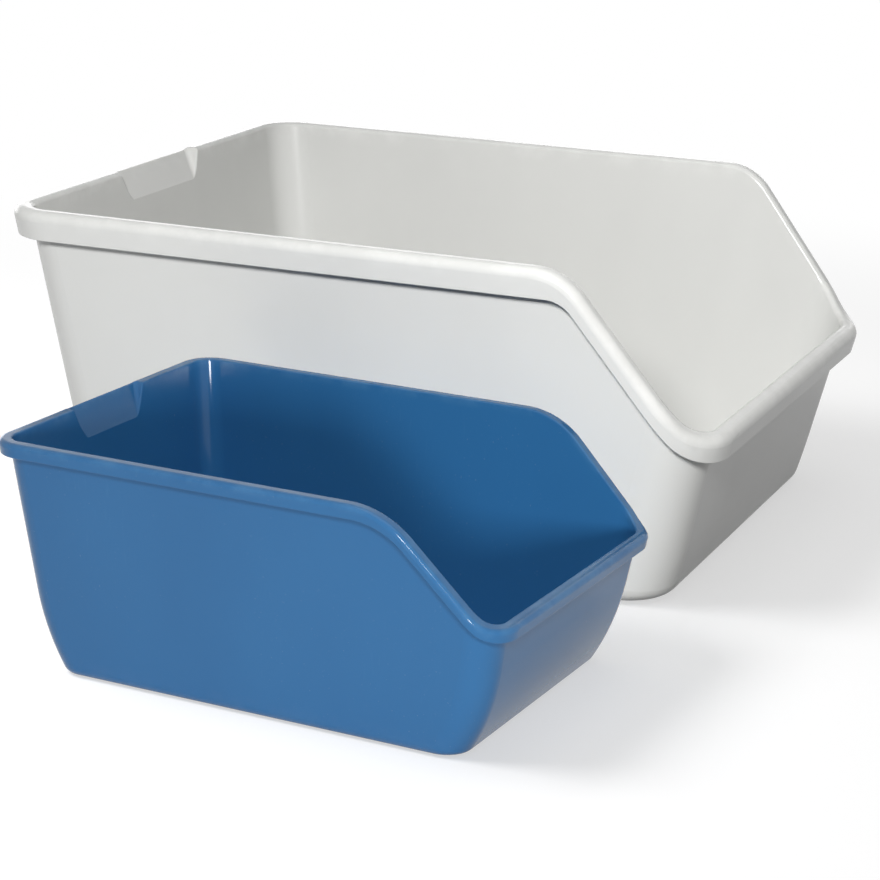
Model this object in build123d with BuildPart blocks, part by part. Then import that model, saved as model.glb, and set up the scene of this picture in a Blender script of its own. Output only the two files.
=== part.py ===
from build123d import *
import os
from math import cos, radians, sin, tan

# A set of two open litter trays of one design, a large one and a small one that stands in front of it.
# Each is one plastic moulding: a floor, four leaning walls that are high at the back and low at the
# front, a rim turned down all round, and a hand-hold pressed into the middle of the back wall.
# Millimetres and degrees. X runs from the back to the front, Z is up, and the origin is the middle of the
# large tray's underside.

# Large tray: its floor and heights
large_floor_length = 469.0
large_floor_width = 387.0
large_back_height = 249.0
large_front_height = 132.0

# Large tray: where the side's top line turns down and where it levels out, measured from the floor's middle
large_slope_start = 167.5
large_slope_end = 260.5
large_crest_radius = 24.0
large_dip_radius = 36.0

# Large tray: lean of the walls, and the bow of the end walls just above the floor
large_back_draft = 8.8
large_front_draft = 12.8
large_side_draft = 6.6
large_bow_height = 40.0
large_bow_inset = 1.5

# Large tray: thicknesses and rounds
large_wall = 2.6
large_back_corner = 30.0
large_front_corner = 42.0
large_foot_radius = 14.0

# Large tray: the turned-down rim
large_rim_overhang = 12.0
large_rim_drop = 22.0
large_rim_wall = 2.6
large_rim_shoulder = 7.0
large_rim_inner_round = 4.0
large_rim_hollow_round = 4.0
large_rim_edge_round = 0.8

# Large tray: the hand-hold in the back wall
large_handhold_width = 130.0
large_handhold_depth = 24.0
large_handhold_flare = 11.0
large_handhold_corner = 5.0
large_handhold_edge = 1.5

# Small tray: its floor and heights
small_floor_length = 295.0
small_floor_width = 216.0
small_back_height = 161.0
small_front_height = 92.5

# Small tray: where the side's top line turns down and where it levels out, measured from the floor's middle
small_slope_start = 103.0
small_slope_end = 171.0
small_crest_radius = 50.0
small_dip_radius = 22.0

# Small tray: lean of the walls, and the bow of the end walls just above the floor
small_back_draft = 7.1
small_front_draft = 9.8
small_side_draft = 5.7
small_bow_height = 57.0
small_bow_inset = 12.0

# Small tray: thicknesses and rounds
small_wall = 2.0
small_back_corner = 16.0
small_front_corner = 20.0
small_foot_radius = 7.0

# Small tray: the turned-down rim
small_rim_overhang = 7.0
small_rim_drop = 9.5
small_rim_wall = 2.0
small_rim_shoulder = 3.2
small_rim_inner_round = 1.2
small_rim_hollow_round = 1.0
small_rim_edge_round = 0.6

# Small tray: the hand-hold in the back wall
small_handhold_width = 84.0
small_handhold_depth = 22.0
small_handhold_flare = 10.0
small_handhold_corner = 3.0
small_handhold_edge = 1.0

# Where the small tray stands on the same floor as the large one, and how far it is turned
small_tray_x = 72.0
small_tray_y = -389.0
small_tray_turn = -4.0

# How far the cutting shapes run past the moulding
margin = 40.0


def make_tray(
    floor_length, floor_width, back_height, front_height,
    slope_start, slope_end, crest_radius, dip_radius,
    back_draft, front_draft, side_draft, bow_height, bow_inset,
    wall, back_corner, front_corner, foot_radius,
    rim_overhang, rim_drop, rim_wall, rim_shoulder, rim_inner_round, rim_hollow_round, rim_edge_round,
    handhold_width, handhold_depth, handhold_flare, handhold_corner, handhold_edge,
):
    """One tray moulding, standing on its floor's middle, with its back towards -X."""
    top = back_height + margin
    reach = floor_length + margin

    def end_at(draft, height):
        """How far an end wall's outside stands from the middle, above its bow."""
        return floor_length / 2 + bow_inset + height * tan(radians(draft))

    def side_at(height):
        """How far a side wall's outside stands from the middle."""
        return floor_width / 2 + height * tan(radians(side_draft))

    def upright_edges(block, end):
        """The edges that climb a block's corners, at its back end (-1) or its front end (1)."""
        climbing = block.edges().filter_by(lambda edge: edge.bounding_box().size.Z > wall)
        return climbing.filter_by(lambda edge: end * edge.center().X > 0)

    def walls(grow, foot):
        """The space inside the walls' outer faces, moved out by grow, with its foot edge rounded."""
        with BuildPart() as block:
            with BuildSketch(Plane.XZ):
                with BuildLine():
                    back_foot = (-floor_length / 2 - grow, 0)
                    front_foot = (floor_length / 2 + grow, 0)
                    back_bow = (-end_at(back_draft, bow_height) - grow, bow_height)
                    front_bow = (end_at(front_draft, bow_height) + grow, bow_height)
                    back_top = (-end_at(back_draft, top) - grow, top)
                    front_top = (end_at(front_draft, top) + grow, top)
                    back_lean = (sin(radians(back_draft)), -cos(radians(back_draft)))
                    front_lean = (-sin(radians(front_draft)), -cos(radians(front_draft)))
                    TangentArc(back_bow, back_foot, tangent=back_lean)
                    Line(back_foot, front_foot)
                    TangentArc(front_bow, front_foot, tangent=front_lean)
                    Polyline(front_bow, front_top, back_top, back_bow)
                make_face()
            extrude(amount=reach, both=True)
            with BuildSketch(Plane.YZ):
                with BuildLine():
                    Polyline(
                        (-side_at(0) - grow, 0),
                        (side_at(0) + grow, 0),
                        (side_at(top) + grow, top),
                        (-side_at(top) - grow, top),
                        close=True,
                    )
                make_face()
            extrude(amount=2 * reach, both=True, mode=Mode.INTERSECT)
            fillet(upright_edges(block, -1), radius=back_corner + grow)
            fillet(upright_edges(block, 1), radius=front_corner + grow)
            if foot > 0:
                fillet(block.faces().sort_by(Axis.Z)[0].edges(), radius=foot)
        return block.part

    def under_top_line(drop):
        """All that lies below the side's top line, lowered by drop."""
        with BuildPart() as block:
            with BuildSketch(Plane.XZ):
                with BuildLine():
                    line = FilletPolyline(
                        (-reach, back_height - drop),
                        (slope_start, back_height - drop),
                        (slope_end, front_height - drop),
                        (reach, front_height - drop),
                        radius=(crest_radius + rim_drop - drop, dip_radius + drop),
                    )
                    Polyline(line @ 1, (reach, -margin), (-reach, -margin), line @ 0)
                make_face()
            extrude(amount=reach, both=True)
        return block.part

    def outline(faces):
        """The edges round a group of faces, without those between two of them."""
        edges = faces.edges()
        return edges.filter_by(lambda edge: edges.count(edge) == 1)

    def mouth_edges(block):
        """The edges round a block's top, where the top line meets the walls."""
        return outline(block.faces().filter_by(lambda face: face.normal_at().Z > 0))

    with BuildPart() as rim_outside:
        add(walls(rim_overhang, 0))
        add(under_top_line(0), mode=Mode.INTERSECT)
        fillet(mouth_edges(rim_outside), radius=rim_shoulder)

    with BuildPart() as rim_inside:
        add(walls(rim_overhang - rim_wall, 0))
        add(under_top_line(rim_wall), mode=Mode.INTERSECT)
        fillet(mouth_edges(rim_inside), radius=rim_hollow_round)

    with BuildPart() as body:
        add(walls(0, foot_radius))
        add(under_top_line(0), mode=Mode.INTERSECT)

    with BuildPart() as tray:
        add(rim_outside.part)
        add(under_top_line(rim_drop), mode=Mode.SUBTRACT)
        add(rim_inside.part, mode=Mode.SUBTRACT)
        add(body.part)
        add(walls(-wall, foot_radius - wall).moved(Location((0, 0, wall))), mode=Mode.SUBTRACT)
        within = walls(-wall / 2, 0)
        below = under_top_line(rim_wall / 2)
        lip = tray.edges().filter_by(
            lambda edge: within.is_inside(edge @ 0.5) and not below.is_inside(edge @ 0.5)
        )
        fillet(lip, radius=rim_inner_round)

        # The rim's lower edge, which hangs clear of the wall, is rounded on both sides.
        hem_top = under_top_line(rim_drop - rim_wall / 4)
        hem_foot = under_top_line(rim_drop + rim_wall / 4)
        near_wall = walls((rim_overhang - rim_wall) / 2, 0)
        hem = tray.faces().filter_by(
            lambda face: all(
                hem_top.is_inside(edge @ 0.5)
                and not hem_foot.is_inside(edge @ 0.5)
                and not near_wall.is_inside(edge @ 0.5)
                for edge in face.edges()
            )
        )
        fillet(outline(hem), radius=rim_edge_round)

    # The hand-hold is a panel as thick as the wall, which leans out from the wall to the rim's outer edge
    # and is narrower at its foot than at the rim.
    hold_low = back_height - handhold_depth
    hold_foot = -end_at(back_draft, hold_low - wall) + wall
    hold_head = -end_at(back_draft, back_height) - rim_overhang + rim_wall

    def hold_back(height):
        """Where the hand-hold's leaning inner face stands along X."""
        return hold_foot + (hold_head - hold_foot) * (height - hold_low) / handhold_depth

    def hold_side(height):
        """How far the hand-hold's sides stand from the middle."""
        return handhold_width / 2 + handhold_flare * (height - back_height) / handhold_depth

    def hold_space(grow):
        """The space inside the hand-hold's faces, moved out by grow, with its back corners rounded."""
        low = hold_low - wall
        with BuildPart() as block:
            with BuildSketch(Plane.XZ):
                with BuildLine():
                    Polyline(
                        (hold_back(low) - grow, low),
                        (hold_back(top) - grow, top),
                        (0, top),
                        (0, low),
                        close=True,
                    )
                make_face()
            extrude(amount=reach, both=True)
            with BuildSketch(Plane.YZ):
                with BuildLine():
                    Polyline(
                        (-hold_side(low) - grow, low),
                        (hold_side(low) + grow, low),
                        (hold_side(top) + grow, top),
                        (-hold_side(top) - grow, top),
                        close=True,
                    )
                make_face()
            extrude(amount=2 * reach, both=True, mode=Mode.INTERSECT)
            leaning = block.edges().filter_by(lambda edge: edge.center().X < hold_back(back_height))
            fillet(leaning.filter_by(lambda edge: edge.center().Z < top), radius=handhold_corner + grow)
        return block.part

    with BuildPart() as panel:
        add(hold_space(wall))
        add(rim_outside.part, mode=Mode.INTERSECT)
        add(under_top_line(rim_wall / 2), mode=Mode.INTERSECT)
        add(walls(-wall / 2, 0), mode=Mode.SUBTRACT)

    with BuildPart() as finished:
        add(tray.part)
        add(panel.part)
        add(hold_space(0), mode=Mode.SUBTRACT)
        near_hold = hold_space(wall / 2)
        hold_faces = finished.faces().filter_by(
            lambda face: all(near_hold.is_inside(edge @ 0.5) for edge in face.edges())
        )
        fillet(outline(hold_faces), radius=handhold_edge)
    return finished.part


os.makedirs("parts", exist_ok=True)

with BuildPart() as large_tray:
    add(
        make_tray(
            large_floor_length, large_floor_width, large_back_height, large_front_height,
            large_slope_start, large_slope_end, large_crest_radius, large_dip_radius,
            large_back_draft, large_front_draft, large_side_draft, large_bow_height, large_bow_inset,
            large_wall, large_back_corner, large_front_corner, large_foot_radius,
            large_rim_overhang, large_rim_drop, large_rim_wall,
            large_rim_shoulder, large_rim_inner_round, large_rim_hollow_round, large_rim_edge_round,
            large_handhold_width, large_handhold_depth, large_handhold_flare,
            large_handhold_corner, large_handhold_edge,
        )
    )
large_tray.part.label = "large_tray"
export_step(large_tray.part, "parts/large_tray.step")

# The small tray stands on the large one's floor, turned a little, in front of its near side.
small_turn = radians(small_tray_turn)
small_place = Plane(origin=(small_tray_x, small_tray_y, 0), x_dir=(cos(small_turn), sin(small_turn), 0))
with BuildPart(small_place) as small_tray:
    add(
        make_tray(
            small_floor_length, small_floor_width, small_back_height, small_front_height,
            small_slope_start, small_slope_end, small_crest_radius, small_dip_radius,
            small_back_draft, small_front_draft, small_side_draft, small_bow_height, small_bow_inset,
            small_wall, small_back_corner, small_front_corner, small_foot_radius,
            small_rim_overhang, small_rim_drop, small_rim_wall,
            small_rim_shoulder, small_rim_inner_round, small_rim_hollow_round, small_rim_edge_round,
            small_handhold_width, small_handhold_depth, small_handhold_flare,
            small_handhold_corner, small_handhold_edge,
        )
    )
small_tray.part.label = "small_tray"
export_step(small_tray.part, "parts/small_tray.step")
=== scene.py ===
import math

import bpy
from mathutils import Matrix, Vector

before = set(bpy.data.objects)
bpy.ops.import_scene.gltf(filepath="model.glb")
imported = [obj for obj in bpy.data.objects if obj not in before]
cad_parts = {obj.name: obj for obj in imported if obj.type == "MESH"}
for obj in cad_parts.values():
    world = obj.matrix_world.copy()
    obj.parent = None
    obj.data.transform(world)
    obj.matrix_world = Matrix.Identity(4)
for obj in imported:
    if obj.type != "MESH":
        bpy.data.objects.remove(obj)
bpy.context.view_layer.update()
bpy.ops.object.select_all(action="DESELECT")


# Large tray
# The tray for a grown cat: one injection moulding in light grey polypropylene, with a rim turned down
# all round and a hand-hold pressed into its high back. It stands on the floor by its own weight. Its
# skin is satin, faintly clouded where the melt ran, and worn a little where trays are stacked; the top
# of its rim is made paler in patches, partly as rubbing and partly as a painted highlight.
grey_shape = {
    "back_height": 0.249,
    "front_height": 0.132,
    "slope_start": 0.1675,
    "slope_end": 0.2605,
    "rim_depth": 0.022,
}
grey_colours = {
    "plain": (0.650, 0.652, 0.632, 1),
    "deep": (0.622, 0.624, 0.606, 1),
    # Paler colour for scuffs and for the rim's top, where it is also a painted highlight.
    "rub_and_sheen": (0.73, 0.73, 0.71, 1),
    "dust": (0.56, 0.53, 0.48, 1),
}
# The rim share sets how strongly the painted highlight and rubbing lie on the rim's top.
grey_tints = {"scuffs": 0.07, "rim": 0.55, "foot": 0.08, "specks": 0.14}
grey_surface = {"grain": 0.02, "waviness": 1.0}
grey_bump_depth = 0.0006
grey_roughness = 0.22
grey_added_roughness = {"smears": 0.05, "scuffs": 0.03, "foot": 0.04}
grey_ior = 1.49
grey_specular = 0.28
foot_rise = 0.018
mix_inputs = (0, 6, 7)
mix_colour = 2


def add_node(tree, kind, **settings):
    """A node of a tree, with its own settings."""
    node = tree.nodes.new(kind)
    for name, value in settings.items():
        setattr(node, name, value)
    return node


def feed(tree, source, node, socket):
    """Sets a socket to a number, a colour or a vector, or links another node's socket to it."""
    if isinstance(source, bpy.types.NodeSocket):
        tree.links.new(source, node.inputs[socket])
    else:
        node.inputs[socket].default_value = source


def sums(tree, operation, first, second):
    """Two values brought together by a Math node."""
    node = add_node(tree, "ShaderNodeMath", operation=operation)
    feed(tree, first, node, 0)
    feed(tree, second, node, 1)
    return node.outputs[0]


def ramp(tree, value, low, high, to_low=0.0, to_high=1.0, smooth=True):
    """A value carried from one range to another and held there."""
    kind = "SMOOTHSTEP" if smooth else "LINEAR"
    node = add_node(tree, "ShaderNodeMapRange", interpolation_type=kind, clamp=True)
    for socket, number in enumerate((value, low, high, to_low, to_high)):
        feed(tree, number, node, socket)
    return node.outputs[0]


def noise(tree, coordinates, scale, detail, roughness=0.5, stretch=(1, 1, 1)):
    """Noise over the piece, drawn out along an axis where the stretch is under 1."""
    mapping = add_node(tree, "ShaderNodeMapping")
    feed(tree, coordinates, mapping, "Vector")
    mapping.inputs["Scale"].default_value = stretch
    node = add_node(tree, "ShaderNodeTexNoise")
    feed(tree, mapping.outputs[0], node, "Vector")
    for socket, number in (("Scale", scale), ("Detail", detail), ("Roughness", roughness)):
        node.inputs[socket].default_value = number
    return node.outputs["Fac"]


def tint(tree, mask, first, second):
    """One colour laid over another where a mask says."""
    node = add_node(tree, "ShaderNodeMix", data_type="RGBA")
    for socket, source in zip(mix_inputs, (mask, first, second)):
        feed(tree, source, node, socket)
    return node.outputs[mix_colour]


def new_group(name, coordinates, numbers, masks):
    """A shader node group that takes coordinates and numbers and gives masks, and its two end nodes."""
    group = bpy.data.node_groups.new(name, "ShaderNodeTree")
    group.interface.new_socket(name=coordinates, in_out="INPUT", socket_type="NodeSocketVector")
    for label in numbers:
        group.interface.new_socket(name=label, in_out="INPUT", socket_type="NodeSocketFloat")
    for label in masks:
        group.interface.new_socket(name=label, in_out="OUTPUT", socket_type="NodeSocketFloat")
    return group, add_node(group, "NodeGroupInput"), add_node(group, "NodeGroupOutput")


skin, skin_in, skin_out = new_group(
    "moulded skin",
    "Coordinates",
    ["Grain", "Waviness"],
    ["Clouds", "Smears", "Specks", "Height"],
)
place = skin_in.outputs["Coordinates"]
clouds = noise(skin, place, scale=7.0, detail=3.0, roughness=0.55, stretch=(1, 1, 0.45))
feed(skin, ramp(skin, clouds, low=0.30, high=0.70), skin_out, "Clouds")
smears = noise(skin, place, scale=9.0, detail=4.0, roughness=0.55, stretch=(0.5, 0.5, 1))
feed(skin, ramp(skin, smears, low=0.34, high=0.74), skin_out, "Smears")
specks = ramp(skin, noise(skin, place, scale=700.0, detail=1.0, roughness=0.4), low=0.745, high=0.79)
speck_fields = ramp(skin, noise(skin, place, scale=11.0, detail=2.0), low=0.42, high=0.66)
feed(skin, sums(skin, "MULTIPLY", specks, speck_fields), skin_out, "Specks")
waves = noise(skin, place, scale=9.0, detail=1.0, roughness=0.4)
waves = sums(skin, "MULTIPLY", waves, skin_in.outputs["Waviness"])
grain = noise(skin, place, scale=1500.0, detail=2.0)
grain = sums(skin, "MULTIPLY", grain, skin_in.outputs["Grain"])
feed(skin, sums(skin, "ADD", waves, grain), skin_out, "Height")

wear_and_sheen, wear_and_sheen_in, wear_and_sheen_out = new_group(
    "stacking wear",
    "Coordinates",
    ["Back Height", "Front Height", "Slope Start", "Slope End", "Rim Depth"],
    ["Rim", "Foot", "Scuffs"],
)
place = wear_and_sheen_in.outputs["Coordinates"]
axes = add_node(wear_and_sheen, "ShaderNodeSeparateXYZ")
feed(wear_and_sheen, place, axes, 0)
top_line = ramp(
    wear_and_sheen,
    axes.outputs["X"],
    wear_and_sheen_in.outputs["Slope Start"],
    wear_and_sheen_in.outputs["Slope End"],
    wear_and_sheen_in.outputs["Back Height"],
    wear_and_sheen_in.outputs["Front Height"],
    smooth=False,
)
below_top = sums(wear_and_sheen, "SUBTRACT", top_line, axes.outputs["Z"])
rim_share = sums(wear_and_sheen, "DIVIDE", below_top, wear_and_sheen_in.outputs["Rim Depth"])
# Rim: the top of the rim made paler in patches, partly rubbing where trays are stacked and partly a
# painted highlight.
rim_breaks = noise(wear_and_sheen, place, scale=38.0, detail=4.0, roughness=0.6)
rim_breaks = ramp(wear_and_sheen, rim_breaks, low=0.40, high=0.66)
rim_edge = ramp(wear_and_sheen, rim_share, low=0.05, high=0.75, to_low=1.0, to_high=0.0)
feed(wear_and_sheen, sums(wear_and_sheen, "MULTIPLY", rim_edge, rim_breaks), wear_and_sheen_out, "Rim")
foot_breaks = noise(wear_and_sheen, place, scale=45.0, detail=5.0, roughness=0.65)
foot_breaks = ramp(wear_and_sheen, foot_breaks, low=0.38, high=0.62)
foot_edge = ramp(wear_and_sheen, axes.outputs["Z"], low=0.0, high=foot_rise, to_low=1.0, to_high=0.0)
feed(wear_and_sheen, sums(wear_and_sheen, "MULTIPLY", foot_edge, foot_breaks), wear_and_sheen_out, "Foot")
scuff_lines = noise(wear_and_sheen, place, scale=520.0, detail=2.0, stretch=(1, 1, 0.018))
scuff_lines = ramp(wear_and_sheen, scuff_lines, low=0.60, high=0.72)
scuff_fields = noise(wear_and_sheen, place, scale=13.0, detail=3.0, roughness=0.6, stretch=(1, 1, 0.6))
scuff_fields = ramp(wear_and_sheen, scuff_fields, low=0.50, high=0.72)
feed(wear_and_sheen, sums(wear_and_sheen, "MULTIPLY", scuff_lines, scuff_fields), wear_and_sheen_out, "Scuffs")


def put_group(tree, group, coordinates, values):
    """A node group placed in a material with its own values."""
    node = add_node(tree, "ShaderNodeGroup", node_tree=group)
    feed(tree, coordinates, node, "Coordinates")
    for name, number in values.items():
        node.inputs[name.replace("_", " ").title()].default_value = number
    return node


def lay_colour(tree, skin_node, wear_and_sheen_node, colours, shares, shader):
    """Clouded plastic, paler where scuffed and along the rim's top, which is partly rubbing and partly a
    painted highlight, and duller where dust clings, as the shader's colour.
    """
    body = tint(tree, skin_node.outputs["Clouds"], colours["deep"], colours["plain"])
    scuffed = sums(tree, "MULTIPLY", wear_and_sheen_node.outputs["Scuffs"], shares["scuffs"])
    # The rim mask paints a highlight along the rim's top as well as its rubbing.
    rub_and_sheen = sums(tree, "MULTIPLY", wear_and_sheen_node.outputs["Rim"], shares["rim"])
    body = tint(tree, sums(tree, "MAXIMUM", scuffed, rub_and_sheen), body, colours["rub_and_sheen"])
    soiled = sums(tree, "MULTIPLY", wear_and_sheen_node.outputs["Foot"], shares["foot"])
    specked = sums(tree, "MULTIPLY", skin_node.outputs["Specks"], shares["specks"])
    body = tint(tree, sums(tree, "MAXIMUM", soiled, specked), body, colours["dust"])
    feed(tree, body, shader, "Base Color")


def lay_gloss(tree, skin_node, wear_and_sheen_node, roughness, added, shader):
    """The shader's roughness, raised by smears, by scuffs and by the worn foot."""
    matt = sums(tree, "MULTIPLY", skin_node.outputs["Smears"], added["smears"])
    scuffed = sums(tree, "MULTIPLY", wear_and_sheen_node.outputs["Scuffs"], added["scuffs"])
    matt = sums(tree, "ADD", matt, scuffed)
    worn = sums(tree, "MULTIPLY", wear_and_sheen_node.outputs["Foot"], added["foot"])
    matt = sums(tree, "ADD", matt, worn)
    feed(tree, sums(tree, "ADD", matt, roughness), shader, "Roughness")


def lay_relief(tree, skin_node, depth, shader):
    """The skin's waves and grain, as a bump of a given depth."""
    bump = add_node(tree, "ShaderNodeBump")
    bump.inputs["Distance"].default_value = depth
    feed(tree, skin_node.outputs["Height"], bump, "Height")
    feed(tree, bump.outputs[0], shader, "Normal")


grey_plastic = bpy.data.materials.new("light_grey_polypropylene")
grey_plastic.use_nodes = True
tree = grey_plastic.node_tree
grey_shader = tree.nodes["Principled BSDF"]
grey_place = add_node(tree, "ShaderNodeTexCoord").outputs["Object"]
grey_skin = put_group(tree, skin, grey_place, grey_surface)
# Its Rim mask is partly rubbing and partly a painted highlight along the rim's top.
grey_wear_and_sheen = put_group(tree, wear_and_sheen, grey_place, grey_shape)
lay_colour(tree, grey_skin, grey_wear_and_sheen, grey_colours, grey_tints, grey_shader)
lay_gloss(tree, grey_skin, grey_wear_and_sheen, grey_roughness, grey_added_roughness, grey_shader)
lay_relief(tree, grey_skin, grey_bump_depth, grey_shader)
grey_shader.inputs["IOR"].default_value = grey_ior
grey_shader.inputs["Specular IOR Level"].default_value = grey_specular
grey_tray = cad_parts["large_tray"]
grey_tray.data.materials.clear()
grey_tray.data.materials.append(grey_plastic)


# Small tray
# The tray for a kitten, of the same design at two thirds of the size: one moulding in blue polypropylene
# from a polished mould, glossier than the large one. It stands in front of the large tray, turned a
# little, and is picked up by hand.
blue_stand = (0.072, -0.389, 0.0)
blue_turn = math.radians(-4)
blue_shape = {
    "back_height": 0.161,
    "front_height": 0.0925,
    "slope_start": 0.103,
    "slope_end": 0.171,
    "rim_depth": 0.0095,
}
blue_colours = {
    "plain": (0.031, 0.155, 0.362, 1),
    "deep": (0.028, 0.143, 0.340, 1),
    # Paler colour for scuffs and for the rim's top, where it is also a painted highlight.
    "rub_and_sheen": (0.080, 0.235, 0.450, 1),
    "dust": (0.42, 0.47, 0.52, 1),
}
# The rim share sets how strongly the painted highlight and rubbing lie on the rim's top.
blue_tints = {"scuffs": 0.08, "rim": 0.45, "foot": 0.03, "specks": 0.14}
blue_surface = {"grain": 0.008, "waviness": 0.8}
blue_bump_depth = 0.0005
blue_roughness = 0.09
blue_added_roughness = {"smears": 0.05, "scuffs": 0.06, "foot": 0.08}
blue_ior = 1.47
blue_specular = 0.30

blue_plastic = bpy.data.materials.new("blue_polypropylene")
blue_plastic.use_nodes = True
tree = blue_plastic.node_tree
blue_shader = tree.nodes["Principled BSDF"]
blue_mapping = add_node(tree, "ShaderNodeMapping", vector_type="TEXTURE")
blue_mapping.inputs["Location"].default_value = blue_stand
blue_mapping.inputs["Rotation"].default_value = (0, 0, blue_turn)
feed(tree, add_node(tree, "ShaderNodeTexCoord").outputs["Object"], blue_mapping, "Vector")
blue_place = blue_mapping.outputs[0]
blue_skin = put_group(tree, skin, blue_place, blue_surface)
blue_wear_and_sheen = put_group(tree, wear_and_sheen, blue_place, blue_shape)
lay_colour(tree, blue_skin, blue_wear_and_sheen, blue_colours, blue_tints, blue_shader)
lay_gloss(tree, blue_skin, blue_wear_and_sheen, blue_roughness, blue_added_roughness, blue_shader)
lay_relief(tree, blue_skin, blue_bump_depth, blue_shader)
blue_shader.inputs["IOR"].default_value = blue_ior
blue_shader.inputs["Specular IOR Level"].default_value = blue_specular
blue_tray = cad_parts["small_tray"]
blue_tray.data.materials.clear()
blue_tray.data.materials.append(blue_plastic)


# Studio floor
# A sweep of white paper under both trays, wide enough to run out of sight behind them. It takes the
# trays' shadow, and gets a little light of its own where it is looked at, so that it shows as white.
floor_size = 14.0
floor_parts = 4
floor_place = (0, 0, -0.0004)
white = (1, 1, 1, 1)
paper_colour = (0.45, 0.45, 0.45, 1)
paper_roughness = 0.9
paper_specular = 0.0
paper_lift = 0.60
paper_clear_start = 0.55
paper_clear_end = 1.30


def looked_at(tree):
    """1 where a surface is seen by the camera, in a gloss or through glass, and 0 elsewhere."""
    path = add_node(tree, "ShaderNodeLightPath")
    seen = sums(tree, "MAXIMUM", path.outputs["Is Camera Ray"], path.outputs["Is Glossy Ray"])
    return sums(tree, "MAXIMUM", seen, path.outputs["Is Transmission Ray"])


bpy.ops.mesh.primitive_grid_add(
    x_subdivisions=floor_parts,
    y_subdivisions=floor_parts,
    size=floor_size,
    location=floor_place,
)
floor = bpy.context.object
floor.name = "studio_floor"
paper = bpy.data.materials.new("white_paper")
paper.use_nodes = True
tree = paper.node_tree
paper_shader = tree.nodes["Principled BSDF"]
paper_shader.inputs["Base Color"].default_value = paper_colour
paper_shader.inputs["Roughness"].default_value = paper_roughness
paper_shader.inputs["Specular IOR Level"].default_value = paper_specular
paper_shader.inputs["Emission Color"].default_value = white
paper_seen = looked_at(tree)
feed(tree, sums(tree, "MULTIPLY", paper_seen, paper_lift), paper_shader, "Emission Strength")
paper_glow = add_node(tree, "ShaderNodeEmission")
paper_spot = add_node(tree, "ShaderNodeVectorMath", operation="LENGTH")
feed(tree, add_node(tree, "ShaderNodeTexCoord").outputs["Object"], paper_spot, 0)
paper_far = ramp(tree, paper_spot.outputs["Value"], paper_clear_start, paper_clear_end)
paper_mix = add_node(tree, "ShaderNodeMixShader")
feed(tree, sums(tree, "MULTIPLY", paper_seen, paper_far), paper_mix, 0)
feed(tree, paper_shader.outputs[0], paper_mix, 1)
feed(tree, paper_glow.outputs[0], paper_mix, 2)
feed(tree, paper_mix.outputs[0], tree.nodes["Material Output"], "Surface")
floor.data.materials.append(paper)


# Studio light
# Softboxes in front, one for the large tray and two for the small one, so that neither tray shades the
# other, a low one behind both, one for the floor, a weak one overhead for all, and a pale room that is
# darker to the right and in front. What is seen behind the trays is plain white.
room_level = 0.42
room_dark_level = 0.03
room_seen_level = 1.0
room_bright_way = (-0.80, 0.60, 0.0)
room_change_start = -0.20
room_change_end = 0.65
front_size = (0.36, 0.30)
front_grey_spread = math.radians(120)
front_grey_place = (0.58, -2.02, 1.08)
front_grey_aim = (0.58, -0.05, 0.12)
front_grey_watts = 24.5
front_blue_place = (1.00, -2.10, 0.28)
front_blue_aim = (0.07, -0.40, 0.08)
front_blue_watts = 17.5
high_blue_place = (0.90, -1.95, 1.08)
high_blue_watts = 15.5
back_place = (-1.30, 1.90, 0.44)
back_aim = (0.0, 0.0, 0.12)
back_size = (3.6, 0.8)
back_watts = 17.0
middle_of_floor = (0.05, -0.15, 0.0)
top_place = (0.42, -0.45, 2.0)
top_size = (1.6, 1.6)
top_watts = 9.0
floor_lamp_place = (-1.25, -0.95, 1.90)
floor_lamp_size = (1.1, 1.1)
floor_lamp_watts = 52.0

room = bpy.data.worlds.new("studio_room")
bpy.context.scene.world = room
room.use_nodes = True
tree = room.node_tree
room_shade = tree.nodes["Background"]
room_shade.inputs["Color"].default_value = white
room_turn = add_node(tree, "ShaderNodeVectorMath", operation="DOT_PRODUCT")
feed(tree, add_node(tree, "ShaderNodeTexCoord").outputs["Generated"], room_turn, 0)
feed(tree, room_bright_way, room_turn, 1)
room_light = ramp(
    tree,
    room_turn.outputs["Value"],
    room_change_start,
    room_change_end,
    room_dark_level,
    room_level,
)
room_strength = ramp(tree, looked_at(tree), 0.0, 1.0, room_light, room_seen_level, smooth=False)
feed(tree, room_strength, room_shade, "Strength")


def hang_softbox(name, place, aim, size, watts):
    """A rectangular lamp hung at a place and turned to what it lights."""
    bpy.ops.object.light_add(type="AREA", location=place)
    lamp = bpy.context.object
    lamp.name = name
    lamp.data.shape = "RECTANGLE"
    lamp.data.size, lamp.data.size_y = size
    lamp.data.energy = watts
    lamp.rotation_euler = (Vector(aim) - Vector(place)).to_track_quat("-Z", "Y").to_euler()
    return lamp


def light_only(lamp, lit, blockers):
    """The lamp lights the things named first, and takes its shadows from those named last."""
    receiver = bpy.data.collections.new(lamp.name + "_lights")
    for thing in lit:
        receiver.objects.link(thing)
    lamp.light_linking.receiver_collection = receiver
    shade = bpy.data.collections.new(lamp.name + "_shade")
    for thing in blockers:
        shade.objects.link(thing)
    lamp.light_linking.blocker_collection = shade


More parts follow.
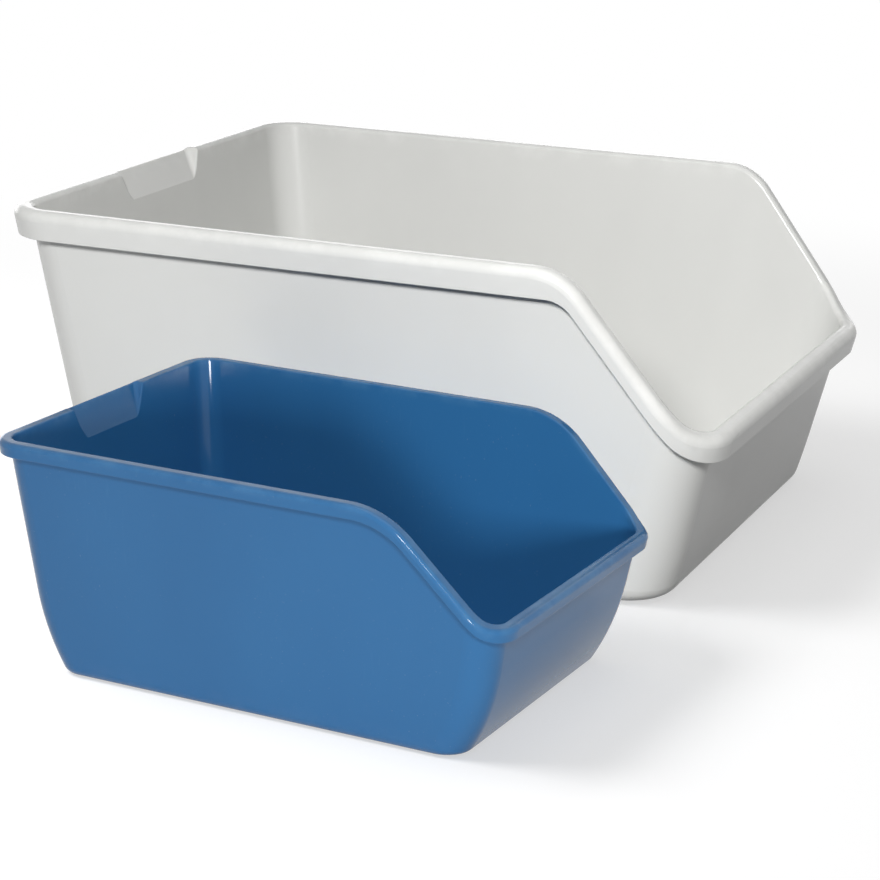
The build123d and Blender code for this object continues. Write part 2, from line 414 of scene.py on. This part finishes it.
trays = [grey_tray, blue_tray]
front_grey = hang_softbox(
    "front_grey_softbox",
    front_grey_place,
    front_grey_aim,
    front_size,
    front_grey_watts,
)
front_grey.data.spread = front_grey_spread
light_only(front_grey, [grey_tray], [grey_tray])
front_blue = hang_softbox(
    "front_blue_softbox",
    front_blue_place,
    front_blue_aim,
    front_size,
    front_blue_watts,
)
light_only(front_blue, [blue_tray], [blue_tray])
high_blue = hang_softbox(
    "high_blue_softbox",
    high_blue_place,
    front_blue_aim,
    front_size,
    high_blue_watts,
)
light_only(high_blue, [blue_tray], [blue_tray])
floor_lamp = hang_softbox(
    "floor_softbox",
    floor_lamp_place,
    middle_of_floor,
    floor_lamp_size,
    floor_lamp_watts,
)
light_only(floor_lamp, [floor], trays)
hang_softbox("top_softbox", top_place, middle_of_floor, top_size, top_watts)
back_lamp = hang_softbox("back_softbox", back_place, back_aim, back_size, back_watts)
light_only(back_lamp, trays, trays)


# Camera
# It stands to the right of the trays' near side and looks down on them, with a long lens. Its place, its
# turn and its lens were fitted to the edges of both trays in the photograph.
frame_pixels = 880
focal_pixels = 2686.7
centre_pixels = (419.16, 434.49)
sensor_width = 36.0
camera_place = (0.78825, -1.92141, 0.65204)
camera_turn = math.radians(23.193)
camera_fall = math.radians(16.183)
camera_tilt = math.radians(1.178)
quarter_turn = math.radians(90)

bpy.ops.object.camera_add()
camera = bpy.context.object
camera.name = "photo_camera"
camera.matrix_world = (
    Matrix.Translation(camera_place)
    @ Matrix.Rotation(camera_turn, 4, "Z")
    @ Matrix.Rotation(quarter_turn - camera_fall, 4, "X")
    @ Matrix.Rotation(camera_tilt, 4, "Z")
)
camera.data.sensor_width = sensor_width
camera.data.lens = focal_pixels / frame_pixels * sensor_width
camera.data.shift_x = (frame_pixels / 2 - centre_pixels[0]) / frame_pixels
camera.data.shift_y = (centre_pixels[1] - frame_pixels / 2) / frame_pixels
bpy.context.scene.camera = camera
bpy.context.scene.view_settings.view_transform = "Standard"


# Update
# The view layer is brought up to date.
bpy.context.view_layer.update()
